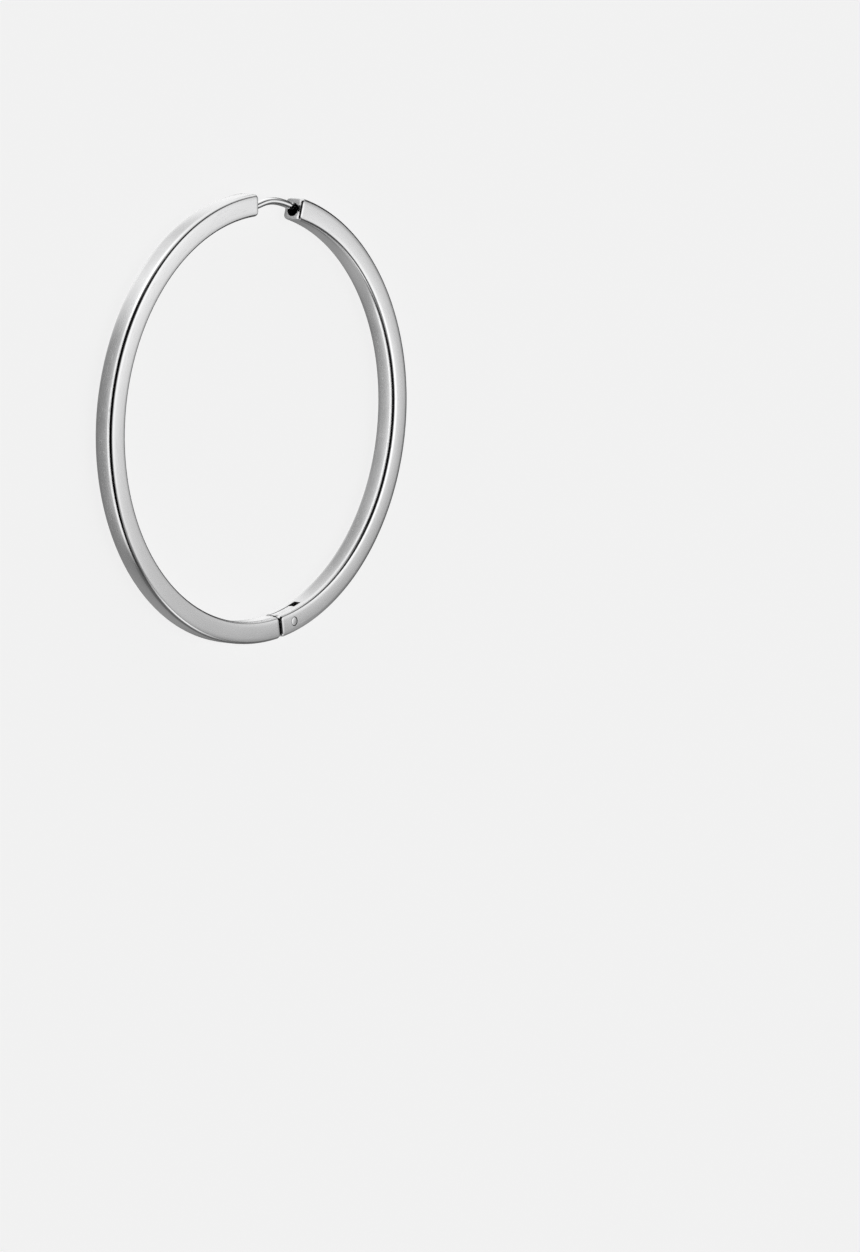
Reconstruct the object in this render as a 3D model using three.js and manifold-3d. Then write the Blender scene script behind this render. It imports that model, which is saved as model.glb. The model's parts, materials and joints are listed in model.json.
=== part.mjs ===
// A hinged hoop earring of square bar, lying flat on its side.
// Millimetres, +Z up, with the hoop's centre on the Z axis and its lower face on z = 0.
// Angles are in degrees, counter-clockwise from +X as seen from above.

import * as THREE from "three";
import { mergeVertices } from "three/addons/utils/BufferGeometryUtils.js";
import Module from "manifold-3d";

const wasm = await Module();
wasm.setup();

// The hoop and the square bar that it is bent from
const hoopDiameter = 50;
const barWidth = 2.5;
const barHeight = 2.5;
const edgeRound = 0.22;

// Where the bar is cut: the two free ends at the ear, and the hinge pin
const postEndAngle = 97;
const catchEndAngle = 79.5;
const hingeAngle = 289.4;
const freeEndRound = 0.45;

// The hinge: a tongue on the post side turns between two cheeks on the catch side
const pinDiameter = 1;
const pinEndRound = 0.08;
const pinRecess = 0.02;
const pinSeatGap = 0.02;
const pinRunningGap = 0.05;
const cheekReach = 2.17;
const cheekRound = 0.4;
const swingGap = 0.03;
const tongueThickness = 0.8;
const tongueSideGap = 0.075;
const tongueInset = 0.03;
const tongueReach = 1.8;
const tongueRound = 0.6;
const tongueRoot = 1;
const slotEndGap = 0.65;

// The ear wire, thin at its socket and fuller at its tip
const wireRootDiameter = 0.76;
const wireTipDiameter = 0.86;
const socketDepth = 2.5;
const socketGap = 0.03;
const socketInnerWall = 0.5;
const tipDepth = 2;
const tipRound = 0.3;

// The catch bore: the wire's tip lies against its outer wall
const boreSideWall = 0.48;
const boreInnerWall = 0.36;
const boreDepth = 3;
const tipGap = 0.045;

// The wire's bow between the free ends. The crown is its highest place, and the four reaches are
// how far it keeps each direction. All but the rise are shares of the way between the ends.
const crownRise = 0.35;
const bow = { crown: 0.553, rootReach: 0.17, crownBefore: 0.243, crownAfter: 0.19, tipReach: 0.196 };

// How far a facet may lie from the true curve, and the ear wire's sides and steps
const facetError = 0.006;
const wireSides = 16;
const wireStep = 0.3;
const cutOver = 1;

// Sizes worked out from the ones above
const outerRadius = hoopDiameter / 2;
const innerRadius = outerRadius - barWidth;
const midRadius = outerRadius - barWidth / 2;
const midHeight = barHeight / 2;
const boreRadius = barHeight / 2 - boreSideWall;
const boreCentre = innerRadius + boreInnerWall + boreRadius;
const tipCentre = boreCentre + boreRadius - wireTipDiameter / 2 - tipGap;
const socketRadius = wireRootDiameter / 2 + socketGap;
const socketCentre = innerRadius + socketInnerWall + socketRadius;
const slotWidth = tongueThickness + 2 * tongueSideGap;

// The cheeks' rounded corners swing past the shoulders as the hoop opens, so the shoulders stand
// one gap outside the largest circle that the corners reach about the pin.
const cornerHeight = Math.sqrt((outerRadius - cheekRound) ** 2 - cheekRound ** 2)
  - Math.sqrt(midRadius ** 2 - cheekReach ** 2);
const cornerSwing = Math.hypot(cheekReach - cheekRound, cornerHeight) + cheekRound;
const shoulderReach = cornerSwing + swingGap;

const degree = Math.PI / 180;

// The angle that a distance along the bar takes up, seen from the hoop's centre
function angleOf(distance) {
  return Math.asin(distance / midRadius) / degree;
}

const cheekAngle = hingeAngle - angleOf(cheekReach);
const shoulderAngle = hingeAngle - angleOf(shoulderReach);
const tongueTipAngle = hingeAngle + angleOf(tongueReach);
const slotEndAngle = hingeAngle + angleOf(tongueReach + slotEndGap);

function polar(radius, angle) {
  return new THREE.Vector3(radius * Math.cos(angle * degree), radius * Math.sin(angle * degree), 0);
}

// The direction along the bar at an angle, clockwise as seen from above
function clockwise(angle) {
  return new THREE.Vector3(Math.sin(angle * degree), -Math.cos(angle * degree), 0);
}

function facets(radius, sweep) {
  const largest = 2 * Math.acos(1 - Math.min(facetError / radius, 1));
  return Math.max(3, Math.ceil(Math.abs(sweep) * degree / largest));
}

function arc(centre, radius, from, to) {
  const curve = new THREE.EllipseCurve(
    centre.x, centre.y, radius, radius, from * degree, to * degree, to < from,
  );
  return curve.getPoints(facets(radius, to - from));
}

// The outline of a stretch of bar seen from above. Each end is a straight cut towards the hoop's
// centre, with both its corners rounded.
function barOutline(inner, outer, start, end, startRound, endRound) {
  const centre = new THREE.Vector3();
  const outerTurn = (round) => Math.asin(round / (outer - round)) / degree;
  const innerTurn = (round) => Math.asin(round / (inner + round)) / degree;
  const outerFrom = start + outerTurn(startRound);
  const outerTo = end - outerTurn(endRound);
  const innerFrom = end - innerTurn(endRound);
  const innerTo = start + innerTurn(startRound);
  const points = [
    ...arc(centre, outer, outerFrom, outerTo),
    ...arc(polar(outer - endRound, outerTo), endRound, outerTo, end + 90),
    ...arc(polar(inner + endRound, innerFrom), endRound, end + 90, innerFrom + 180),
    ...arc(centre, inner, innerFrom, innerTo),
    ...arc(polar(inner + startRound, innerTo), startRound, innerTo + 180, start + 270),
    ...arc(polar(outer - startRound, outerFrom), startRound, start + 270, outerFrom + 360),
  ];
  const near = 1e-4;
  return points.filter((point, i) => point.distanceTo(points.at(i - 1)) > near);
}

// An outline raised from one height to another, with its upper and lower edges rounded
function raise(outline, low, high, round) {
  const options = { depth: high - low - 2 * round, bevelEnabled: round > 0 };
  if (round > 0) {
    options.bevelThickness = round;
    options.bevelSize = round;
    options.bevelOffset = -round;
    options.bevelSegments = facets(round, 90);
  }
  return new THREE.ExtrudeGeometry(new THREE.Shape(outline), options).translate(0, 0, low + round);
}

// A round rod from one point towards another
function rod(from, direction, length, radius) {
  const geometry = new THREE.CylinderGeometry(radius, radius, length, facets(radius, 360));
  const middle = from.clone().addScaledVector(direction, length / 2);
  const turn = new THREE.Quaternion().setFromUnitVectors(new THREE.Vector3(0, 1, 0), direction);
  return geometry.applyQuaternion(turn).translate(middle.x, middle.y, middle.z);
}

function solid(geometry) {
  const bare = geometry.clone();
  bare.deleteAttribute("normal");
  bare.deleteAttribute("uv");
  const merged = mergeVertices(bare, 1e-4);
  return new wasm.Manifold(new wasm.Mesh({
    numProp: 3,
    vertProperties: merged.attributes.position.array,
    triVerts: new Uint32Array(merged.index.array),
  }));
}

function geometryOf(shape) {
  const mesh = shape.getMesh();
  const geometry = new THREE.BufferGeometry();
  geometry.setAttribute("position", new THREE.BufferAttribute(mesh.vertProperties, 3));
  geometry.setIndex(new THREE.BufferAttribute(mesh.triVerts, 1));
  geometry.computeVertexNormals();
  return geometry;
}

function atMidHeight(point) {
  return point.clone().setZ(midHeight);
}

// The hole for the pin, through everything from below to above
function pinHole(gap) {
  const foot = polar(midRadius, hingeAngle).setZ(-cutOver);
  return solid(rod(foot, new THREE.Vector3(0, 0, 1), barHeight + 2 * cutOver, pinDiameter / 2 + gap));
}

function postSideArc() {
  const bar = raise(
    barOutline(innerRadius, outerRadius, postEndAngle, shoulderAngle, freeEndRound, cheekRound),
    0, barHeight, edgeRound,
  );
  const tongue = raise(
    barOutline(
      innerRadius + tongueInset, outerRadius - tongueInset,
      shoulderAngle - angleOf(tongueRoot), tongueTipAngle, tongueInset, tongueRound,
    ),
    midHeight - tongueThickness / 2, midHeight + tongueThickness / 2, 0,
  );
  const mouth = atMidHeight(polar(socketCentre, postEndAngle));
  const inwards = clockwise(postEndAngle).negate();
  const socket = rod(
    mouth.clone().addScaledVector(inwards, -cutOver), inwards, socketDepth + cutOver, socketRadius,
  );
  return solid(bar).add(solid(tongue)).subtract(pinHole(pinRunningGap)).subtract(solid(socket));
}

function catchSideArc() {
  const bar = raise(
    barOutline(innerRadius, outerRadius, cheekAngle, catchEndAngle + 360, cheekRound, freeEndRound),
    0, barHeight, edgeRound,
  );
  const slot = raise(
    barOutline(
      innerRadius - cutOver, outerRadius + cutOver,
      cheekAngle - angleOf(cutOver), slotEndAngle, tongueInset, tongueInset,
    ),
    midHeight - slotWidth / 2, midHeight + slotWidth / 2, 0,
  );
  const mouth = atMidHeight(polar(boreCentre, catchEndAngle));
  const inwards = clockwise(catchEndAngle);
  const bore = rod(
    mouth.clone().addScaledVector(inwards, -cutOver), inwards, boreDepth + cutOver, boreRadius,
  );
  return solid(bar).subtract(solid(slot)).subtract(pinHole(pinSeatGap)).subtract(solid(bore));
}

// The ear wire's centre line: straight in the socket, up to the crown, down to the catch and
// straight again in the bore.
function earWirePath() {
  const between = postEndAngle - catchEndAngle;
  const span = midRadius * between * degree;
  const crownAngle = postEndAngle - bow.crown * between;
  const root = atMidHeight(polar(socketCentre, postEndAngle));
  const crown = atMidHeight(polar(midRadius + crownRise, crownAngle));
  const entry = atMidHeight(polar(tipCentre, catchEndAngle));
  const rootWay = clockwise(postEndAngle);
  const crownWay = clockwise(crownAngle);
  const tipWay = clockwise(catchEndAngle);
  const step = (from, way, length) => from.clone().addScaledVector(way, length);
  const path = new THREE.CurvePath();
  path.add(new THREE.LineCurve3(step(root, rootWay, socketGap - socketDepth), root));
  path.add(new THREE.CubicBezierCurve3(
    root,
    step(root, rootWay, bow.rootReach * span),
    step(crown, crownWay, -bow.crownBefore * span),
    crown,
  ));
  path.add(new THREE.CubicBezierCurve3(
    crown,
    step(crown, crownWay, bow.crownAfter * span),
    step(entry, tipWay, -bow.tipReach * span),
    entry,
  ));
  path.add(new THREE.LineCurve3(entry, step(entry, tipWay, tipDepth)));
  return path;
}

// The wire as a straight turned rod with a rounded tip, then bent along its centre line
function earWire() {
  const path = earWirePath();
  const length = path.getLength();
  const radiusAt = (along) => THREE.MathUtils.lerp(wireRootDiameter, wireTipDiameter, along / length) / 2;
  const straight = length - tipRound;
  const steps = Math.ceil(straight / wireStep);
  const profile = [new THREE.Vector2(0, 0)];
  for (let i = 0; i <= steps; i += 1) {
    const along = straight * i / steps;
    profile.push(new THREE.Vector2(radiusAt(along), along));
  }
  const flat = radiusAt(length) - tipRound;
  const turns = facets(tipRound, 90);
  for (let i = 1; i <= turns; i += 1) {
    const turn = Math.PI / 2 * i / turns;
    profile.push(new THREE.Vector2(flat + tipRound * Math.cos(turn), straight + tipRound * Math.sin(turn)));
  }
  profile.push(new THREE.Vector2(0, length));
  const wire = new THREE.LatheGeometry(profile, wireSides);
  const position = wire.attributes.position;
  for (let i = 0; i < position.count; i += 1) {
    const along = THREE.MathUtils.clamp(position.getY(i) / length, 0, 1);
    const centre = path.getPointAt(along);
    const way = path.getTangentAt(along);
    position.setXYZ(
      i,
      centre.x + way.y * position.getX(i),
      centre.y - way.x * position.getX(i),
      centre.z + position.getZ(i),
    );
  }
  return solid(wire);
}

// The pin stands on its lower end, at the pin's own centre
function hingePin() {
  const radius = pinDiameter / 2;
  const height = barHeight - 2 * pinRecess;
  const profile = [
    new THREE.Vector2(0, 0),
    ...arc(new THREE.Vector2(radius - pinEndRound, pinEndRound), pinEndRound, -90, 0),
    ...arc(new THREE.Vector2(radius - pinEndRound, height - pinEndRound), pinEndRound, 0, 90),
    new THREE.Vector2(0, height),
  ];
  const pin = new THREE.LatheGeometry(profile, facets(radius, 360));
  return solid(pin.rotateX(Math.PI / 2).translate(0, 0, pinRecess));
}

const satinSteel = { color: 0xbdbdbf, roughness: 0.28, metalness: 1 };
const brightSteel = { color: 0xd2d2d4, roughness: 0.18, metalness: 1 };

function piece(name, shape, finish) {
  const mesh = new THREE.Mesh(geometryOf(shape), new THREE.MeshStandardMaterial(finish));
  mesh.name = name;
  return mesh;
}

const hingeCentre = polar(midRadius, hingeAngle);

const postSide = new THREE.Group();
postSide.add(piece("post_side_arc", postSideArc(), satinSteel));
postSide.add(piece("ear_wire", earWire(), brightSteel));

// The catch side's group stands on the hinge's axis, about which it opens
const catchSide = new THREE.Group();
catchSide.position.copy(hingeCentre);
const catchArc = piece("catch_side_arc", catchSideArc(), satinSteel);
catchArc.position.copy(hingeCentre).negate();
catchSide.add(catchArc);
catchSide.add(piece("hinge_pin", hingePin(), brightSteel));

const group = new THREE.Group();
group.add(postSide);
group.add(catchSide);

export default group;
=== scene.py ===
# %% [markdown]
# A hinged hoop earring in polished steel
#
# This lesson dresses a small piece of jewellery: a hoop of square steel bar in two halves, with a
# hinge at the bottom and a bowed ear wire at the top. The construction comes ready made as a frame
# of plain faceted solids. The main sizes are read from that frame, and the small ones, such as gaps
# and walls, are the ones that it was made with. Jewellery is nearly all reflection. So half of the
# work is clean rounded edges, and the other half is the studio that the metal mirrors.

# %% Load the frame
import functools
import json
import math

import bmesh
import bpy
from mathutils import Matrix, Vector


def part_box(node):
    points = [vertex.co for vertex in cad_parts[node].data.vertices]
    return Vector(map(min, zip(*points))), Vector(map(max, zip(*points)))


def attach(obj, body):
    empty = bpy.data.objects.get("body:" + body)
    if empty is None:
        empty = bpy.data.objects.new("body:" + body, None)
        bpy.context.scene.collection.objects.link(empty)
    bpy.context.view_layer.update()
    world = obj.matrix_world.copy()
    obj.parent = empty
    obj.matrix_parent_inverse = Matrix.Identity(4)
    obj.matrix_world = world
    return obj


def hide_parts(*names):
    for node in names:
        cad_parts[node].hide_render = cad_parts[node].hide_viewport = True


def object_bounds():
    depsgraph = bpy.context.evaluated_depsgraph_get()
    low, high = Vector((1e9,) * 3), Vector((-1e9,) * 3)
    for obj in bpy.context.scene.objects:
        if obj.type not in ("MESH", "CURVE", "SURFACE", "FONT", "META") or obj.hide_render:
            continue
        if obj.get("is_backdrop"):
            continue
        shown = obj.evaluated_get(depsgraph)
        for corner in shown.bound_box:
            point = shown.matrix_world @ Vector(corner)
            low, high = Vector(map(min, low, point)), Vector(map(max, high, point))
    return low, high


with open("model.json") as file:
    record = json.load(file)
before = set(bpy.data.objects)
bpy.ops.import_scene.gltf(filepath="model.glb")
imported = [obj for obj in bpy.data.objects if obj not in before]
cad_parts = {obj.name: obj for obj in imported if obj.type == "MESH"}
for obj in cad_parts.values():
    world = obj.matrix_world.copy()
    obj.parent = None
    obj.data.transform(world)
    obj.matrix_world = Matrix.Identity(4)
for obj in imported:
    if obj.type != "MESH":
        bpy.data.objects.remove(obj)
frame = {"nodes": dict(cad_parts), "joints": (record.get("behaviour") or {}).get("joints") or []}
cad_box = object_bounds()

print("frame nodes:", sorted(frame["nodes"]))
print("frame size in mm:", [round(side * 1000, 2) for side in cad_box[1] - cad_box[0]])

# %% [markdown]
# Sizes first. The hinge pin's place gives the circle that runs along the middle of the bar, the
# left-most point gives the outer circle, and the rest of the bar follows from the two. Reading
# them, rather than typing them again, keeps the dressed hoop on the frame if the frame changes.

# %% Sizes of the bar
mm = 0.001
degree = math.pi / 180

post_low, post_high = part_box("post_side_arc")
pin_low, pin_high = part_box("hinge_pin")
hinge = Vector(frame["joints"][0]["pos_m"])

mid_radius = math.hypot(hinge.x, hinge.y)
outer_radius = -post_low.x
bar_width = 2 * (outer_radius - mid_radius)
inner_radius = outer_radius - bar_width
bar_height = post_high.z - post_low.z
mid_height = bar_height / 2
pin_radius = (pin_high.x - pin_low.x) / 2
hinge_angle = math.atan2(hinge.y, hinge.x) / degree + 360

print(f"bar {bar_width / mm:.2f} by {bar_height / mm:.2f} mm, outside radius {outer_radius / mm:.2f} mm")
print(f"hinge at {hinge_angle:.1f} degrees, pin radius {pin_radius / mm:.2f} mm")

# %% [markdown]
# The hinge is a thin tongue between two cheeks, and a hoop like this only opens if the cheeks' rounded
# corners swing clear of the shoulders beside the tongue. The gap could be guessed and tried. It is
# worked out here instead: the shoulders stand one small gap outside the circle that the corners
# reach about the pin. Distances at the hinge are counted from the pin, along the bar.

# %% Where the bar is cut
post_end_angle = 97
catch_end_angle = 79.5 + 360
end_round = 0.45 * mm

cheek_reach = 2.17 * mm
cheek_round = 0.4 * mm
swing_gap = 0.03 * mm
tongue_reach = 1.8 * mm
tongue_round = 0.6 * mm
tongue_thickness = 0.8 * mm
tongue_side_gap = 0.075 * mm
slot_end_gap = 0.65 * mm


def angle_of(distance):
    """The angle in degrees that a distance along the bar takes up, seen from the hoop's centre."""
    return math.asin(distance / mid_radius) / degree


corner_height = math.sqrt((outer_radius - cheek_round) ** 2 - cheek_round ** 2)
corner_height -= math.sqrt(mid_radius ** 2 - cheek_reach ** 2)
corner_swing = math.hypot(cheek_reach - cheek_round, corner_height) + cheek_round

cheek_angle = hinge_angle - angle_of(cheek_reach)
shoulder_angle = hinge_angle - angle_of(corner_swing + swing_gap)
tongue_tip_angle = hinge_angle + angle_of(tongue_reach)
slot_end_angle = hinge_angle + angle_of(tongue_reach + slot_end_gap)
slot_width = tongue_thickness + 2 * tongue_side_gap
gap_width = (cheek_angle - shoulder_angle) * degree * mid_radius

print(f"gap at the hinge {gap_width / mm:.2f} mm, slot {slot_width / mm:.2f} mm wide")

# %% [markdown]
# The real bar is drawn square, bent round and tumbled smooth. A Bézier circle with a bevelled
# profile could stand for it, but its ends would be awkward to fork. Here the bar is swept instead:
# one small grid of faces, set across the bar, is spun round the hoop's centre. The same helper makes
# the thin tongue at the hinge and the cutter for the slot that the tongue turns in.

# %% A swept bar
up = Vector((0, 0, 1))


def polar(radius, angle, height=0.0):
    """A point at a distance from the hoop's centre and an angle in degrees."""
    return Vector((radius * math.cos(angle * degree), radius * math.sin(angle * degree), height))


def clockwise(angle):
    """The direction along the hoop at an angle, the way the hands of a clock turn."""
    return Vector((math.sin(angle * degree), -math.cos(angle * degree), 0))


def swept_bar(start, end, width=bar_width, height=bar_height, cells=4, step=1.2):
    """A bar of the hoop between two angles, centred in the hoop's own section, as a bmesh."""
    bm = bmesh.new()
    across = Matrix.Diagonal((width / 2, height / 2, 1, 1))
    upright = Matrix.Rotation(90 * degree, 4, "X")
    turned = Matrix.Rotation(start * degree, 4, "Z")
    place = turned @ Matrix.Translation((mid_radius, 0, mid_height)) @ upright @ across
    bmesh.ops.create_grid(bm, x_segments=cells, y_segments=cells, size=1, matrix=place)
    bmesh.ops.spin(
        bm, geom=bm.faces[:], cent=(0, 0, 0), axis=(0, 0, 1), dvec=(0, 0, 0),
        angle=(end - start) * degree, steps=max(2, round(abs(end - start) / step)),
        use_merge=False, use_duplicate=False,
    )
    bmesh.ops.recalc_face_normals(bm, faces=bm.faces[:])
    return bm


# %% [markdown]
# Two kinds of rounding follow. The corners seen from above are rounded first, with a wide bevel on
# the upright edges of an end. The long edges come second, with one narrower bevel that runs on
# round those corners. In that order the narrow bevel never meets three edges in one point.

# %% Finding and rounding edges
touching = 0.001 * mm


def sharp(edge):
    """Whether the two faces at an edge meet at a clear angle."""
    return edge.is_manifold and edge.calc_face_angle() > 30 * degree


def corner_edges(bm, angle):
    """The sharp upright edges at the end of a bar, on its inner and outer corner."""
    across_end = clockwise(angle)
    found = []
    for edge in bm.edges:
        a, b = edge.verts
        upright = (a.co.xy - b.co.xy).length < touching
        same_side = a.co.dot(polar(1, angle)) > 0
        if upright and same_side and abs(a.co.dot(across_end)) < touching and sharp(edge):
            found.append(edge)
    return found


def rim_edges(bm):
    """The sharp edges round the upper and the lower side face."""
    highest = max(vert.co.z for vert in bm.verts) - touching
    lowest = min(vert.co.z for vert in bm.verts) + touching
    found = []
    for edge in bm.edges:
        heights = [vert.co.z for vert in edge.verts]
        level = min(heights) > highest or max(heights) < lowest
        if level and sharp(edge):
            found.append(edge)
    return found


def round_off(bm, edges, radius, segments):
    """Rounds some edges of a bmesh."""
    bmesh.ops.bevel(
        bm, geom=edges, offset=radius, offset_type="OFFSET", segments=segments, profile=0.5,
        affect="EDGES", material=-1, clamp_overlap=True,
    )


# %% [markdown]
# A tumbled bar is never quite flat. Its faces keep a crown of a few hundredths of a millimetre, nearly
# nothing over most of a face and growing fast beside its edges, which is where thin lines of light
# and dark come from. A Subdivision Surface modifier would give a crown, but it would also soften the
# ends. So the crown is a small push on each vertex, with the fourth power of its place across.

# %% The crown
crown_height = 0.07 * mm


def add_crown(bm):
    """Bends the faces of a finished bar inwards beside their edges."""
    for vert in bm.verts:
        radius = vert.co.xy.length
        across = (radius - mid_radius) / (bar_width / 2)
        above = (vert.co.z - mid_height) / mid_height
        vert.co.z -= crown_height * across ** 4 * above
        vert.co.xy *= (radius - crown_height * above ** 4 * across) / radius


print(f"crown of {crown_height / mm:.2f} mm on faces {bar_width / mm:.2f} mm wide")

# %% [markdown]
# Some steps need whole meshes. Holes are drilled as a jeweller would, with a round bit in the finished
# bar, and a tongue is joined on. A Boolean modifier does both and is applied at once, so that no
# piece depends on another one later. Matching the vertices by hand would give the same shapes, with
# far more steps.


# %% Meshes and Booleans
def mesh_object(name, bm):
    """Turns a bmesh into an object of the scene."""
    bmesh.ops.recalc_face_normals(bm, faces=bm.faces[:])
    mesh = bpy.data.meshes.new(name)
    bm.to_mesh(mesh)
    bm.free()
    piece = bpy.data.objects.new(name, mesh)
    bpy.context.scene.collection.objects.link(piece)
    return piece


def apply_modifiers(piece):
    """Makes what the modifiers show the piece's own mesh."""
    graph = bpy.context.evaluated_depsgraph_get()
    mesh = bpy.data.meshes.new_from_object(piece.evaluated_get(graph))
    piece.modifiers.clear()
    piece.data = mesh


def combine(piece, bm, operation):
    """Joins a bmesh to a piece, or cuts it out of the piece, by an exact Boolean."""
    tool = mesh_object("tool", bm)
    boolean = piece.modifiers.new("combine", "BOOLEAN")
    boolean.operation = operation
    boolean.solver = "EXACT"
    boolean.object = tool
    apply_modifiers(piece)
    bpy.data.objects.remove(tool)


# %% [markdown]
# A bar's end is cut and then filed, so its rims stay a little tighter than the long edges. One Bevel
# modifier can do both, because it takes a weight from each edge. The weight here follows how far an
# edge runs along the bar, so the rounding changes smoothly as it goes round a corner.

# %% A bar with soft edges
edge_round = 0.26 * mm
end_edge_round = 0.24 * mm


def soft_bar(name, start, end, rounds):
    """A swept bar with rounded corners at its ends, soft long edges, tighter end rims and a crown."""
    bm = swept_bar(start, end)
    for angle, radius in rounds:
        round_off(bm, corner_edges(bm, angle), radius, segments=6)
    weights = bm.edges.layers.float.new("bevel_weight_edge")
    for edge in rim_edges(bm):
        a, b = edge.verts
        middle = (a.co + b.co) / 2
        along = Vector((middle.y, -middle.x, 0)).normalized()
        share = abs((a.co - b.co).normalized().dot(along))
        edge[weights] = (end_edge_round + (edge_round - end_edge_round) * share ** 2) / edge_round
    piece = mesh_object(name, bm)
    bevel = piece.modifiers.new("edges", "BEVEL")
    bevel.limit_method = "WEIGHT"
    bevel.width = edge_round
    bevel.segments = 6
    bevel.profile = 0.5
    apply_modifiers(piece)
    bm = bmesh.new()
    bm.from_mesh(piece.data)
    add_crown(bm)
    bm.to_mesh(piece.data)
    bm.free()
    return piece


print(f"long edges rounded to {edge_round / mm:.2f} mm, end rims to {end_edge_round / mm:.2f} mm")

# %% [markdown]
# Round tools come next: one helper makes a rod, which serves as a drill's bit and later as the hinge
# pin. The last helper finishes a mesh. Plain smooth shading would bend the reflections on the wide
# faces beside a narrow bevel, so a Weighted Normal modifier lets the larger faces decide.

# %% Rods, holes and shading
cut_over = 1 * mm
rod_sides = 64


def facing(way):
    """The turn that points the Z axis a given way."""
    return up.rotation_difference(way).to_matrix().to_4x4()


def rod(foot, way, length, radius):
    """A round rod from a point along a direction, as a bmesh."""
    bm = bmesh.new()
    place = Matrix.Translation(foot + way * (length / 2)) @ facing(way)
    bmesh.ops.create_cone(
        bm, cap_ends=True, segments=rod_sides, radius1=radius, radius2=radius, depth=length,
        matrix=place,
    )
    return bm


def drill(piece, mouth, way, depth, radius):
    """Drills a round hole into a piece, from its mouth inwards."""
    combine(piece, rod(mouth - way * cut_over, way, depth + cut_over, radius), "DIFFERENCE")


def polish_shading(piece):
    """Smooth shading, broken where faces meet sharply, with normals that follow the larger faces."""
    bm = bmesh.new()
    bm.from_mesh(piece.data)
    for face in bm.faces:
        face.smooth = True
    for edge in bm.edges:
        edge.smooth = not sharp(edge)
    open_edges = sum(not edge.is_manifold for edge in bm.edges)
    triangles = sum(len(face.verts) - 2 for face in bm.faces)
    bm.to_mesh(piece.data)
    bm.free()
    even = piece.modifiers.new("even normals", "WEIGHTED_NORMAL")
    even.keep_sharp = True
    even.weight = 60
    print(f"{piece.name}: {triangles} triangles, {open_edges} open edges")


# %% [markdown]
# The post side is the half that carries the ear wire. A thin tongue with a rounded tip grows out of
# its lower end. It could be extruded from the end's faces, but then it would inherit their rounded
# rims. So it is swept as a bar of its own, joined on, and drilled for the pin.

# %% The post side
pin_foot = Vector((hinge.x, hinge.y, 0))
pin_running_gap = 0.05 * mm
tongue_inset = 0.03 * mm
tongue_edge_round = 0.12 * mm
overlap_angle = 2

wire_root_radius = 0.38 * mm
socket_gap = 0.03 * mm
socket_inner_wall = 0.5 * mm
socket_radius = wire_root_radius + socket_gap
socket_depth = 2.5 * mm
socket_way = -clockwise(post_end_angle)
socket_mouth = polar(inner_radius + socket_inner_wall + socket_radius, post_end_angle, mid_height)


def make_post_side():
    rounds = [(post_end_angle, end_round), (shoulder_angle, cheek_round)]
    piece = soft_bar("post_side_bar", shoulder_angle, post_end_angle, rounds)

    root_angle = shoulder_angle - overlap_angle
    tongue_width = bar_width - 2 * tongue_inset
    tongue = swept_bar(root_angle, tongue_tip_angle, tongue_width, tongue_thickness, cells=1, step=2)
    round_off(tongue, corner_edges(tongue, tongue_tip_angle), tongue_round, segments=8)
    round_off(tongue, rim_edges(tongue), tongue_edge_round, segments=4)
    combine(piece, tongue, "UNION")

    drill(piece, pin_foot, up, bar_height + cut_over, pin_radius + pin_running_gap)
    drill(piece, socket_mouth, socket_way, socket_depth, socket_radius)
    return piece


post_side = make_post_side()
polish_shading(post_side)
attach(post_side, "post_side")
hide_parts("post_side_arc")

# %% [markdown]
# The catch side is the half that swings. Its lower end could be built as two cheeks, but it is made as
# it would be at the bench: one bar, with a slot sawn in it for the tongue and a hole drilled through
# for the pin. The bore in its upper end takes the tip of the ear wire.

# %% The catch side
pin_seat_gap = 0.02 * mm
bore_side_wall = 0.48 * mm
bore_inner_wall = 0.36 * mm
bore_radius = bar_height / 2 - bore_side_wall
bore_centre = inner_radius + bore_inner_wall + bore_radius
bore_depth = 3 * mm
bore_way = clockwise(catch_end_angle)
bore_mouth = polar(bore_centre, catch_end_angle, mid_height)


def make_catch_side():
    rounds = [(catch_end_angle, end_round), (cheek_angle, cheek_round)]
    piece = soft_bar("catch_side_bar", cheek_angle, catch_end_angle, rounds)

    saw_start = cheek_angle - overlap_angle
    slot = swept_bar(saw_start, slot_end_angle, bar_width + cut_over, slot_width, cells=1, step=2)
    combine(piece, slot, "DIFFERENCE")

    drill(piece, pin_foot, up, bar_height + cut_over, pin_radius + pin_seat_gap)
    drill(piece, bore_mouth, bore_way, bore_depth, bore_radius)
    return piece


catch_side = make_catch_side()
polish_shading(catch_side)
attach(catch_side, "catch_side")
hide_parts("catch_side_arc")

# %% [markdown]
# The ear wire is a drawn wire bent into a low bow. It leaves its socket straight, rises to a crown,
# and comes down into the bore, where it lies close to the outer wall. One arc would be simpler, but
# the real bow is steeper where it starts. So two Bézier curves draw the line, and the second starts
# in the direction in which the first one ends, which leaves no kink at the crown.

# %% The ear wire's path
wire_tip_radius = 0.43 * mm
tip_gap = 0.045 * mm
tip_depth = 2 * mm
root_straight = 1 * mm
crown_rise = 0.35 * mm
crown_share = 0.553
root_pull = 0.17
before_crown_pull = 0.243
after_crown_pull = 0.19
tip_pull = 0.196
curve_steps = 24
tip_steps = 4


def bezier(points, t):
    """The point at a share t of a curve that four points draw."""
    a, b, c, d = points
    return a * (1 - t) ** 3 + b * 3 * t * (1 - t) ** 2 + c * 3 * t ** 2 * (1 - t) + d * t ** 3


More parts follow.
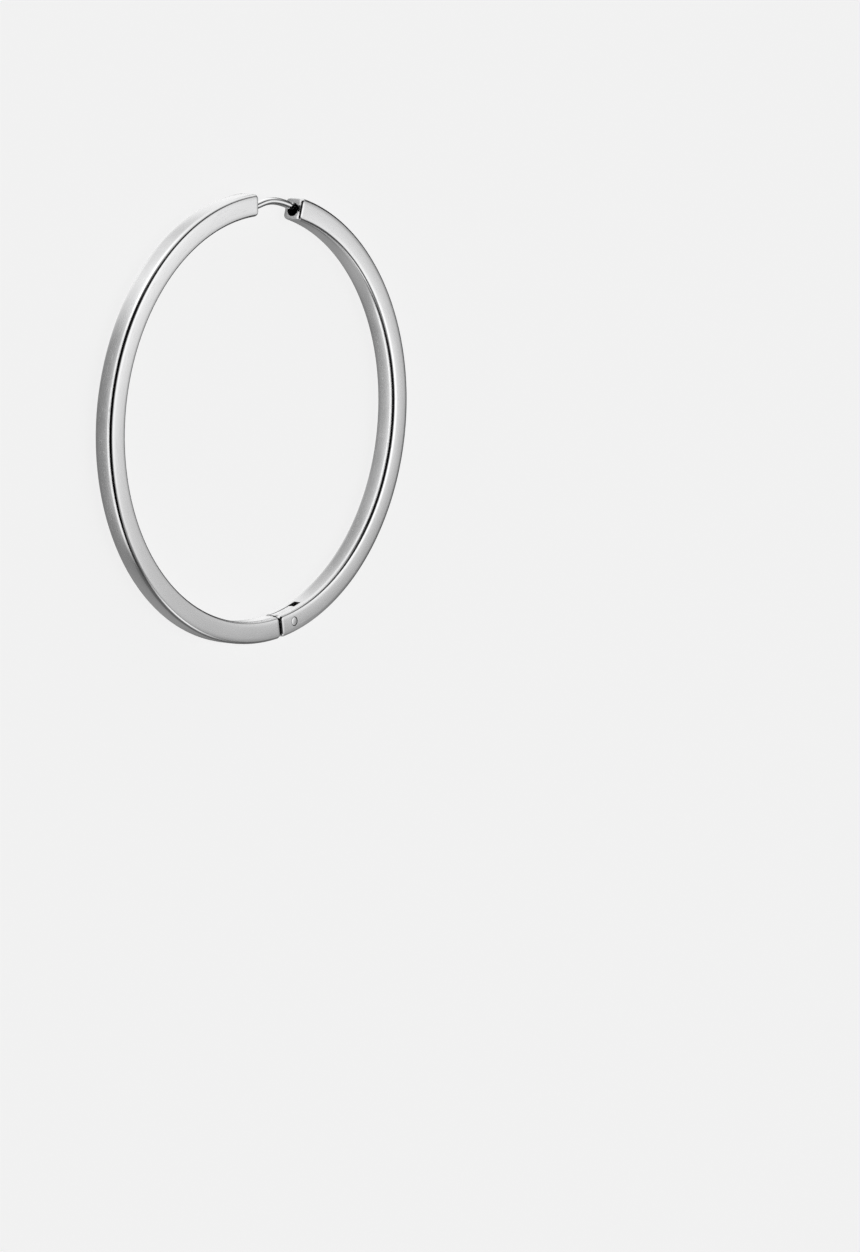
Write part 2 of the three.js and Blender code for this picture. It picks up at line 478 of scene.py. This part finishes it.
def wire_path():
    """Points along the middle of the ear wire, from inside its socket to its tip in the bore."""
    root = socket_mouth
    root_way = -socket_way
    crown_angle = post_end_angle - crown_share * (post_end_angle + 360 - catch_end_angle)
    crown = polar(mid_radius + crown_rise, crown_angle, mid_height)
    crown_way = clockwise(crown_angle)
    entry_radius = bore_centre + bore_radius - wire_tip_radius - tip_gap
    entry = polar(entry_radius, catch_end_angle, mid_height)
    span = (entry - root).length

    after_root = root + root_way * root_pull * span
    before_crown = crown - crown_way * before_crown_pull * span
    after_crown = crown + crown_way * after_crown_pull * span
    before_entry = entry - bore_way * tip_pull * span
    rise = [root, after_root, before_crown, crown]
    fall = [crown, after_crown, before_entry, entry]

    points = [root - root_way * (socket_depth - socket_gap), root - root_way * root_straight]
    for curve in (rise, fall):
        points += [bezier(curve, i / curve_steps) for i in range(curve_steps)]
    points += [entry + bore_way * (tip_depth * i / tip_steps) for i in range(tip_steps + 1)]
    return points


path = wire_path()
reached = [0]
for here, there in zip(path, path[1:]):
    reached.append(reached[-1] + (there - here).length)
print(f"ear wire {reached[-1] / mm:.2f} mm long, with {len(path)} stations")

# %% [markdown]
# A curve object with a round bevel could draw this wire, which is a little thicker at its tip, but
# it would leave the tip flat. So a ring is extruded along the path, one short step after another, and
# the last steps shrink to round the tip.

# %% The ear wire
tip_round = 0.3 * mm
wire_sides = 48


def make_ear_wire():
    stations = []
    for i, point in enumerate(path):
        way = (path[min(i + 1, len(path) - 1)] - path[max(i - 1, 0)]).normalized()
        share = reached[i] / reached[-1]
        radius = wire_root_radius + (wire_tip_radius - wire_root_radius) * share
        stations.append((point, way, radius))
    point, way, radius = stations.pop()
    for turn in range(0, 91, 15):
        reach = tip_round * (math.sin(turn * degree) - 1)
        narrow = tip_round * (1 - math.cos(turn * degree))
        stations.append((point + way * reach, way, radius - narrow))

    bm = bmesh.new()
    places = []
    for point, way, radius in stations:
        places.append(Matrix.Translation(point) @ facing(way) @ Matrix.Scale(radius, 4))
    bmesh.ops.create_circle(bm, segments=wire_sides, radius=1, matrix=places[0])
    ring = bm.edges[:]
    for before, after in zip(places, places[1:]):
        grown = bmesh.ops.extrude_edge_only(bm, edges=ring)["geom"]
        ring = [item for item in grown if isinstance(item, bmesh.types.BMEdge) and item.is_boundary]
        verts = {vert for edge in ring for vert in edge.verts}
        bmesh.ops.transform(bm, matrix=after @ before.inverted(), verts=list(verts))
    bmesh.ops.holes_fill(bm, edges=[edge for edge in bm.edges if edge.is_boundary], sides=0)
    return mesh_object("ear_wire_bow", bm)


ear_wire = make_ear_wire()
polish_shading(ear_wire)
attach(ear_wire, "post_side")
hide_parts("ear_wire")

# %% [markdown]
# The hinge pin is a short rod, pressed through both cheeks and filed nearly flush. A plain cylinder
# would vanish in the cheek. A rounded rim and a slight recess give each end a thin ring of dark and
# light, which is how the eye finds it.

# %% The hinge pin
pin_recess = 0.02 * mm
pin_end_round = 0.08 * mm


def make_pin():
    bm = rod(pin_foot + up * pin_recess, up, bar_height - 2 * pin_recess, pin_radius)
    round_off(bm, rim_edges(bm), pin_end_round, segments=4)
    return mesh_object("hinge_pin_rod", bm)


pin = make_pin()
polish_shading(pin)
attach(pin, "catch_side")
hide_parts("hinge_pin")

# %% [markdown]
# The camera looks at the hoop from far away with a long lens, as a product photographer would to keep
# a round hoop free of perspective. How wide and how tall the hoop looks gives the angle, how much
# smaller its far side looks gives the distance, and the lens then sets its size in the picture. A
# roll of about a right angle puts the ear wire at the top. The camera aims beside the hoop, because
# the hoop lies in the upper left of the picture.

# %% Camera
camera_round = 175.87
camera_rise = 39.78
camera_roll = 96.56
camera_distance = 1416.9 * mm
camera_aim = Vector((32.86 * mm, -23 * mm, mid_height))

camera_data = bpy.data.cameras.new("camera")
camera_data.sensor_width = 36
camera_data.lens = 361.9
camera_data.clip_start = 0.01
camera = bpy.data.objects.new("camera", camera_data)
bpy.context.scene.collection.objects.link(camera)
bpy.context.scene.camera = camera

spun = Matrix.Rotation((camera_round + 90) * degree, 4, "Z")
tipped = Matrix.Rotation((90 - camera_rise) * degree, 4, "X")
rolled = Matrix.Rotation(camera_roll * degree, 4, "Z")
backwards = Matrix.Translation((0, 0, camera_distance))
camera.matrix_world = Matrix.Translation(camera_aim) @ spun @ tipped @ rolled @ backwards

print(f"camera {camera_distance:.2f} m away, looking down at {camera_rise:.0f} degrees")

# %% [markdown]
# Materials come next, and the first need is coordinates that follow the bar. Polishing marks run
# along the bar, so the noise that draws them must be stretched along the bend. The helper turns the
# Object coordinates into three lengths in millimetres: along the hoop, outwards and upwards.


# %% Node helpers
def add_node(tree, kind, inputs, **settings):
    """Adds a node with its settings, and feeds each named input with a value or another socket."""
    node = tree.nodes.new(kind)
    for name, value in settings.items():
        setattr(node, name, value)
    for name, value in inputs.items():
        if isinstance(value, bpy.types.NodeSocket):
            tree.links.new(value, node.inputs[name])
        else:
            node.inputs[name].default_value = value
    return node


def calc(tree, operation, first, second=0.0, third=0.0):
    """One step of arithmetic on sockets or numbers."""
    values = {0: first, 1: second, 2: third}
    return add_node(tree, "ShaderNodeMath", values, operation=operation).outputs[0]


def vector_calc(tree, operation, result, first, second=(0, 0, 0)):
    """One step of arithmetic on vectors, with the name of the output that holds its result."""
    node = add_node(tree, "ShaderNodeVectorMath", {0: first, 1: second}, operation=operation)
    return node.outputs[result]


def blend(tree, share, first, second):
    """A smooth change from one number to another as a share goes from 0 to 1."""
    return calc(tree, "MULTIPLY_ADD", share, calc(tree, "SUBTRACT", second, first), first)


def step_up(tree, value, low, high):
    """A share that rises smoothly from 0 to 1 while a value goes from low to high."""
    inputs = {"Value": value, "From Min": low, "From Max": high}
    return add_node(tree, "ShaderNodeMapRange", inputs, interpolation_type="SMOOTHSTEP").outputs[0]


def step_down(tree, value, low, high):
    """A share that falls smoothly from 1 to 0 while a value goes from low to high."""
    return calc(tree, "SUBTRACT", 1, step_up(tree, value, low, high))


# %% Lengths on the hoop
def object_point(tree):
    return add_node(tree, "ShaderNodeTexCoord", {}).outputs["Object"]


def hoop_lengths(tree, side):
    """Lengths in mm along the hoop, out from its centre and up. The side is 1 or -1, so that the
    place where the angle jumps lies in the other half of the hoop."""
    x, y, z = add_node(tree, "ShaderNodeSeparateXYZ", {0: object_point(tree)}).outputs
    angle = calc(tree, "ARCTAN2", calc(tree, "MULTIPLY", y, side), calc(tree, "MULTIPLY", x, side))
    squares = calc(tree, "ADD", calc(tree, "POWER", x, 2), calc(tree, "POWER", y, 2))
    radius = calc(tree, "SQRT", squares)
    along = calc(tree, "MULTIPLY", angle, mid_radius / mm)
    return along, calc(tree, "DIVIDE", radius, mm), calc(tree, "DIVIDE", z, mm)


def distance_from_line(tree, foot, way):
    """Distances in mm out from a line and along it, for a line through a foot point."""
    offset = vector_calc(tree, "SUBTRACT", "Vector", object_point(tree), foot)
    along = vector_calc(tree, "DOT_PRODUCT", "Value", offset, way)
    aside = vector_calc(tree, "CROSS_PRODUCT", "Vector", offset, way)
    out = vector_calc(tree, "LENGTH", "Value", aside)
    return calc(tree, "DIVIDE", out, mm), calc(tree, "DIVIDE", along, mm)


# %% [markdown]
# Steel is a metal with a grey of its own, and nearly everything else that one sees is reflection. So
# the finish lives in the roughness. Three layers are added to an even polish: fine lines left by the
# buffing wheel along the bar, soft clouds where the wheel pressed less, and a few hairline scratches
# from wear. The lines also give a bump of less than a thousandth of a millimetre. Each layer is a
# noise, stretched by its own number of marks a millimetre along the bar, outwards and upwards.

# %% Marks of polishing
line_grain = (0.7, 24, 24)
cloud_grain = (0.35, 0.9, 0.9)
scratch_grain = (0.9, 14, 11)
line_depth = 0.0008 * mm


def marks(tree, lengths, grain, detail):
    """A noise from 0 to 1 that has a given number of marks a millimetre each way."""
    parts = [calc(tree, "MULTIPLY", length, count) for length, count in zip(lengths, grain)]
    vector = add_node(tree, "ShaderNodeCombineXYZ", dict(enumerate(parts))).outputs[0]
    inputs = {"Vector": vector, "Scale": 1, "Detail": detail}
    return add_node(tree, "ShaderNodeTexNoise", inputs).outputs[0]


def vary(tree, middle, pattern, swing):
    """A number that a noise swings evenly about its middle."""
    return calc(tree, "MULTIPLY_ADD", pattern, swing, calc(tree, "SUBTRACT", middle, swing / 2))


print("marks a millimetre along, out and up:", line_grain, cloud_grain, scratch_grain)

# %% [markdown]
# One function makes every steel here. It takes the grey and the roughness of an even polish, the way
# that the marks run, and a share of painted shade where there is any: a dark grey, with a duller
# roughness.
# A ready made picture of brushed steel would be quicker, but it would show its repeats round a whole
# hoop.

# %% Steel
line_swing = 0.06
cloud_swing = 0.08
cloud_grey_swing = 0.05
scratch_start = 0.7
scratch_full = 0.74
scratch_roughness = 0.1
bump_strength = 0.35
# Painted shade: a full share turns the steel this dark grey, with this duller roughness.
painted_shade_roughness = 0.55
painted_shade_grey = 0.04
blue_tint = 1.004


def steel(name, base, roughness, lengths_of, painted_shade=None):
    """A steel material. The lengths give the way that its marks run, and the last argument gives a share
    from 0 to 1 of painted shade in holes and seams: a dark grey, with a duller finish where no polish
    reaches."""
    material = bpy.data.materials.new(name)
    material.use_nodes = True
    tree = material.node_tree
    shader = tree.nodes["Principled BSDF"]
    lengths = lengths_of(tree)

    lines = marks(tree, lengths, line_grain, 3)
    clouds = marks(tree, lengths, cloud_grain, 2)
    hairs = marks(tree, lengths, scratch_grain, 0)
    scratches = step_up(tree, hairs, scratch_start, scratch_full)

    rough = vary(tree, roughness, lines, line_swing)
    rough = vary(tree, rough, clouds, cloud_swing)
    rough = calc(tree, "MULTIPLY_ADD", scratches, scratch_roughness, rough)
    grey = vary(tree, base, clouds, cloud_grey_swing)
    # Painted shade: holes, seams and the hinge gap get a darker grey painted in, and a duller roughness.
    if painted_shade:
        share = painted_shade(tree)
        rough = blend(tree, share, rough, painted_shade_roughness)
        grey = blend(tree, share, grey, painted_shade_grey)
    blue = calc(tree, "MULTIPLY", grey, blue_tint)
    colour = add_node(tree, "ShaderNodeCombineColor", {0: grey, 1: grey, 2: blue}).outputs[0]
    relief = {"Strength": bump_strength, "Distance": line_depth, "Height": lines}
    bump = add_node(tree, "ShaderNodeBump", relief)
    tree.links.new(rough, shader.inputs["Roughness"])
    tree.links.new(colour, shader.inputs["Base Color"])
    tree.links.new(bump.outputs[0], shader.inputs["Normal"])
    shader.inputs["Metallic"].default_value = 1
    return material


def dress(piece, material):
    """Gives a piece its one material."""
    piece.data.materials.clear()
    piece.data.materials.append(material)
    print(f"{piece.name}: {material.name}, {len(material.node_tree.nodes)} nodes")


# %% [markdown]
# Holes in jewellery look black, because they lie in shade, and nobody polishes inside them. Here the
# shade is painted into the steel's grey and the roughness is made duller. A share of painted shade
# says how deep a point lies in a bore, how close it is to the seam of the pin, or whether it lies in
# the gap of the hinge. Each could be painted on by hand. Distances from the axis of a hole, worked
# out in the material, stay sharp at any size and follow the sizes above.

# %% Painted shade in holes, seams and gaps
wall_fade = 0.02 * mm
unshaded_rim = 0.05 * mm
full_depth = 0.4 * mm
floor_margin = 0.1 * mm
seam_width = 0.05 * mm
gap_lip = 0.05 * mm
lip_fade = 0.04 * mm
far_fade = 0.06 * mm


def seam_painted_shade(tree):
    """Painted shade on the cheek, in a thin ring round the pin."""
    out = distance_from_line(tree, pin_foot, up)[0]
    return step_down(tree, out, (pin_radius + pin_seat_gap) / mm, (pin_radius + seam_width) / mm)


def hole_painted_shade(foot, way, radius, depth):
    """Painted shade inside a round hole, from its mouth inwards to its floor."""
    def painted_shade(tree):
        out, along = distance_from_line(tree, foot, way)
        inside = step_down(tree, out, radius / mm, (radius + wall_fade) / mm)
        past_floor = calc(tree, "GREATER_THAN", along, (depth + floor_margin) / mm)
        deep = calc(tree, "SUBTRACT", step_up(tree, along, unshaded_rim / mm, full_depth / mm), past_floor)
        return calc(tree, "MULTIPLY", inside, deep)
    return painted_shade


def gap_painted_shade(angle, way):
    """Painted shade on an end face at the hinge, and on what lies in the gap past it."""
    def painted_shade(tree):
        out, past = distance_from_line(tree, polar(mid_radius, angle, mid_height), way)
        begun = step_up(tree, past, -gap_lip / mm, (lip_fade - gap_lip) / mm)
        beyond = step_up(tree, past, (gap_width - far_fade) / mm, gap_width / mm)
        near = calc(tree, "LESS_THAN", out, bar_width / mm)
        return calc(tree, "MULTIPLY", calc(tree, "SUBTRACT", begun, beyond), near)
    return painted_shade


def worst_of(*painted_shades):
    """The largest of several shares of painted shade."""
    def painted_shade(tree):
        shares = [one(tree) for one in painted_shades]
        return functools.reduce(lambda a, b: calc(tree, "MAXIMUM", a, b), shares)
    return painted_shade


# %% Steel on the bars
satin_grey = 0.72
satin_roughness = 0.2

# Painted shade on the bars: in the socket and the bore, in a ring round the pin, and in the hinge gap.
post_painted_shade = worst_of(
    hole_painted_shade(socket_mouth, socket_way, socket_radius, socket_depth),
    gap_painted_shade(shoulder_angle, -clockwise(shoulder_angle)),
)
catch_painted_shade = worst_of(
    hole_painted_shade(bore_mouth, bore_way, bore_radius, bore_depth),
    seam_painted_shade,
    gap_painted_shade(cheek_angle, clockwise(cheek_angle)),
)
left_lengths = functools.partial(hoop_lengths, side=-1)
right_lengths = functools.partial(hoop_lengths, side=1)
dress(post_side, steel("satin_steel_post", satin_grey, satin_roughness, left_lengths, post_painted_shade))
dress(catch_side, steel("satin_steel_catch", satin_grey, satin_roughness, right_lengths, catch_painted_shade))

# %% [markdown]
# The ear wire touches skin, so it is polished brighter than the bars. The pin was turned on a lathe,
# so its marks run in rings: for the pin, outwards from its axis takes the place of across the bar.

# %% Steel on the wire and the pin
wire_grey = 0.86
wire_roughness = 0.13
pin_grey = 0.74
pin_roughness = 0.18
pin_rim = 0.06 * mm


def pin_lengths(tree):
    """Lengths in mm for the pin: none along, out from its axis, and up from its middle."""
    out, along = distance_from_line(tree, pin_foot + up * mid_height, up)
    return calc(tree, "MULTIPLY", along, 0), out, along


# Painted shade: the pin's rim is painted darker and duller where it meets the cheek.
def pin_painted_shade(tree):
    """Painted shade on the pin's rounded rim."""
    out = distance_from_line(tree, pin_foot, up)[0]
    return step_up(tree, out, (pin_radius - pin_rim) / mm, pin_radius / mm)


dress(ear_wire, steel("bright_steel_wire", wire_grey, wire_roughness, right_lengths))
dress(pin, steel("bright_steel_pin", pin_grey, pin_roughness, pin_lengths, pin_painted_shade))

# %% [markdown]
# The floor is a plain pale sheet. It gives off most of its light by itself, like a light table, so
# it stays an even near-white and keeps only a faint shadow under the hoop. It is hidden from
# reflections: the steel mirrors the studio instead, which the next cells build.

# %% Floor
floor_half_side = 1.5
floor_grey = 0.25
floor_glow = 0.826


def sheet(name, half_side):
    """A flat square sheet round the origin."""
    bm = bmesh.new()
    bmesh.ops.create_grid(bm, x_segments=1, y_segments=1, size=half_side)
    return mesh_object(name, bm)


floor = sheet("floor", floor_half_side)
floor_material = bpy.data.materials.new("pale_floor")
floor_material.use_nodes = True
shader = floor_material.node_tree.nodes["Principled BSDF"]
shader.inputs["Base Color"].default_value = (floor_grey, floor_grey, floor_grey, 1)
shader.inputs["Roughness"].default_value = 1
shader.inputs["Specular IOR Level"].default_value = 0
shader.inputs["Emission Color"].default_value = (1, 1, 1, 1)
shader.inputs["Emission Strength"].default_value = floor_glow
floor.data.materials.append(floor_material)
floor.visible_glossy = False
floor.visible_shadow = False
floor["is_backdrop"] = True
print(f"floor {2 * floor_half_side:.0f} m wide, glow {floor_glow}")

# %% [markdown]
# A photographer shapes polished metal with what stands round it: white card to brighten a face, black
# card for the dark line that makes an edge look crisp. The world does that work here. Its brightness
# depends on direction, and each ramp below describes one side of the studio from the ground up, as
# pairs of an elevation in degrees and the grey that steel shows when it mirrors that place. Greys
# count from 0 to 255, and a number above that is a card that shines brighter than white paper.

# %% Ramps of light
steel_reflects = 0.76
brightest = 2.0

world = bpy.data.worlds.new("studio")
bpy.context.scene.world = world
world.use_nodes = True
sky = world.node_tree


def radiance(grey):
    """The light that makes polished steel look a given 8-bit grey."""
    share = grey / 255
    linear = share / 12.92 if share < 0.04045 else ((share + 0.055) / 1.055) ** 2.4
    return linear / steel_reflects


def ramp(value, stops, start, span, level):
    """A ramp over angles from a start, where level turns each stop's number into a share from 0 to 1."""
    node = add_node(sky, "ShaderNodeValToRGB", {0: value})
    node.color_ramp.interpolation = "EASE"
    elements = node.color_ramp.elements
    while len(elements) < len(stops):
        elements.new(0.5)
    for element, (angle, number) in zip(elements, stops):
        element.position = (angle - start) / span
        element.color = [level(number)] * 3 + [1]
    return node.outputs[0]


# %% Directions in the studio
direction = add_node(sky, "ShaderNodeTexCoord", {}).outputs["Generated"]
x, y, z = add_node(sky, "ShaderNodeSeparateXYZ", {0: direction}).outputs
turns = calc(sky, "DIVIDE", calc(sky, "ARCTAN2", y, x), 2 * math.pi)
around = calc(sky, "FRACT", turns)
elevation = calc(sky, "DIVIDE", calc(sky, "ARCSINE", z), degree)
height = calc(sky, "ADD", calc(sky, "DIVIDE", elevation, 180), 0.5)


def by_height(*stops):
    """Light that changes with the elevation, from -90 to 90 degrees."""
    return ramp(height, stops, -90, 180, lambda grey: radiance(grey) / brightest)


def by_turn(*stops):
    """Light that changes round the compass, from 0 to 360 degrees."""
    return ramp(around, stops, 0, 360, lambda grey: radiance(grey) / brightest)


def share_by_turn(*stops):
    """A share that changes round the compass."""
    return ramp(around, stops, 0, 360, lambda share: share)


print(f"{len(sky.nodes)} world nodes so far")

# %% [markdown]
# The camera stands on the side where x is negative. That side has a white card low down, about 30
# degrees below the horizon, and the black of the camera above it, so rounded edges that face the
# camera show a white line beside a black one. The far side is dark low down and grows bright towards
# the top. The hoop's upper face mirrors it about 40 degrees up, where it is a mid grey.

# %% The four sides of the studio
camera_side = by_height(
    (-39, 135), (-34, 245), (-30, 285), (-26, 255), (-20, 50), (-14, 0),
    (64, 0), (74, 90), (82, 160), (90, 200),
)
far_side = by_height(
    (-40, 20), (-10, 12), (12, 20), (22, 75), (31, 135), (40, 157),
    (47, 200), (56, 246), (66, 250), (78, 220), (90, 200),
)
upper_side = by_height(
    (-30, 240), (0, 240), (12, 220), (24, 140), (36, 20), (44, 0),
    (60, 0), (70, 110), (90, 200),
)
lower_side = by_height(
    (-30, 92), (-8, 92), (5, 95), (18, 60), (45, 60), (58, 130),
    (70, 170), (90, 200),
)

sides = blend(sky, share_by_turn((26, 0), (48, 1), (130, 1), (200, 0)), far_side, upper_side)
sides = blend(sky, share_by_turn((85, 0), (130, 1), (238, 1), (268, 0)), sides, camera_side)
sides = blend(sky, share_by_turn((238, 0), (270, 1), (315, 1), (350, 0)), sides, lower_side)
print(f"{len(sky.nodes)} world nodes with the four sides")

# %% [markdown]
# The upright faces of the bar mirror what lies lower than the hoop, all at the same 40 degrees down.
# One ramp round the compass therefore draws the whole run of greys along those faces: nearly white at
# the top of the picture and a quiet mid grey elsewhere. A second ramp, for what lies straight below,
# lights the rounded edges underneath.

# %% The ground of the studio
ground_top = (-39, -34)
nadir_top = (-56, -46)

low_round = by_turn(
    (0, 40), (10, 110), (18, 242), (48, 240), (76, 182), (100, 152), (124, 143), (170, 131),
    (190, 126), (250, 125), (290, 143), (312, 143), (336, 122), (350, 60), (360, 50),
)
nadir_round = by_turn(
    (0, 160), (15, 215), (80, 215), (125, 165), (170, 122), (320, 122), (345, 130), (360, 160),
)

studio = blend(sky, step_up(sky, elevation, *ground_top), low_round, sides)
studio = blend(sky, step_up(sky, elevation, *nadir_top), nadir_round, studio)
background = sky.nodes["Background"]
background.inputs["Strength"].default_value = brightest
sky.links.new(studio, background.inputs["Color"])
print(f"{len(sky.nodes)} world nodes in all")

# %% [markdown]
# A world is the same for every point of the hoop, but a card close by is not: one part of the bar
# mirrors its middle and another its rim. Soft gradients along the bar come from such cards. Each card
# here is a sheet that glows most in the middle, adds to what is behind it, and is seen by the steel
# alone. Each is placed where one part of the bar would mirror it.


# %% Glow cards
def glow_material(name, strength):
    """A round pool of light that fades to a clear rim."""
    material = bpy.data.materials.new(name)
    material.use_nodes = True
    tree = material.node_tree
    tree.nodes.clear()
    point = object_point(tree)
    pool = add_node(tree, "ShaderNodeTexGradient", {0: point}, gradient_type="SPHERICAL").outputs[1]
    light = calc(tree, "MULTIPLY", step_up(tree, pool, 0, 1), strength)
    glow = add_node(tree, "ShaderNodeEmission", {"Strength": light})
    clear = add_node(tree, "ShaderNodeBsdfTransparent", {})
    both = add_node(tree, "ShaderNodeAddShader", {0: glow.outputs[0], 1: clear.outputs[0]})
    add_node(tree, "ShaderNodeOutputMaterial", {0: both.outputs[0]})
    return material


def glow_card(name, mirrored_at, way, distance, reach, strength):
    """A glowing card at a distance from a point of the hoop, along the way that it mirrors. The
    point, the distance and the card's reach from its middle are in mm."""
    way = way.normalized()
    centre = (Vector(mirrored_at) + way * distance) * mm
    size = Matrix.Diagonal((reach * mm, reach * mm, 1, 1))
    card = sheet(name, 1)
    card.matrix_world = Matrix.Translation(centre) @ facing(-way) @ size
    card.visible_camera = False
    card.visible_diffuse = False
    card.visible_shadow = False
    card.data.materials.append(glow_material(name, strength))
    card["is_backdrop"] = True
    print(f"{name}: {reach * 2} mm wide, {distance} mm from the steel")


glow_card("card_above", (-20, 20, 2), Vector((0.7645, -0.0588, 0.642)), 110, 62, 0.6)
glow_card("card_lower_left", (-15, -20, 2), Vector((0.407, -0.765, 0.5)), 60, 36, 1.4)
glow_card("card_upper_right", (13, 18, 1), Vector((0.134, -0.956, -0.26)), 40, 25, 0.6)
glow_card("card_outer_left", (-20, 15, 1), Vector((-0.25, 0.72, -0.642)), 12.5, 17, 0.6)
glow_card("card_inner_right", (22, 4, 1), Vector((-0.76, -0.1, -0.642)), 39, 32, 0.14)

# %% [markdown]
# Photographs of jewellery on white are developed straight, without a film curve, so the Standard view
# is the right one. The last cell notes the size of the frame and of the dressed hoop.

# %% Finish
bpy.context.scene.view_settings.view_transform = "Standard"

sizes = {
    "frame": [list(corner) for corner in cad_box],
    "dressed": [list(corner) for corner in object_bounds()],
}
for name, (low, high) in sizes.items():
    print(f"{name} size in mm:", [round((b - a) / mm, 2) for a, b in zip(low, high)])
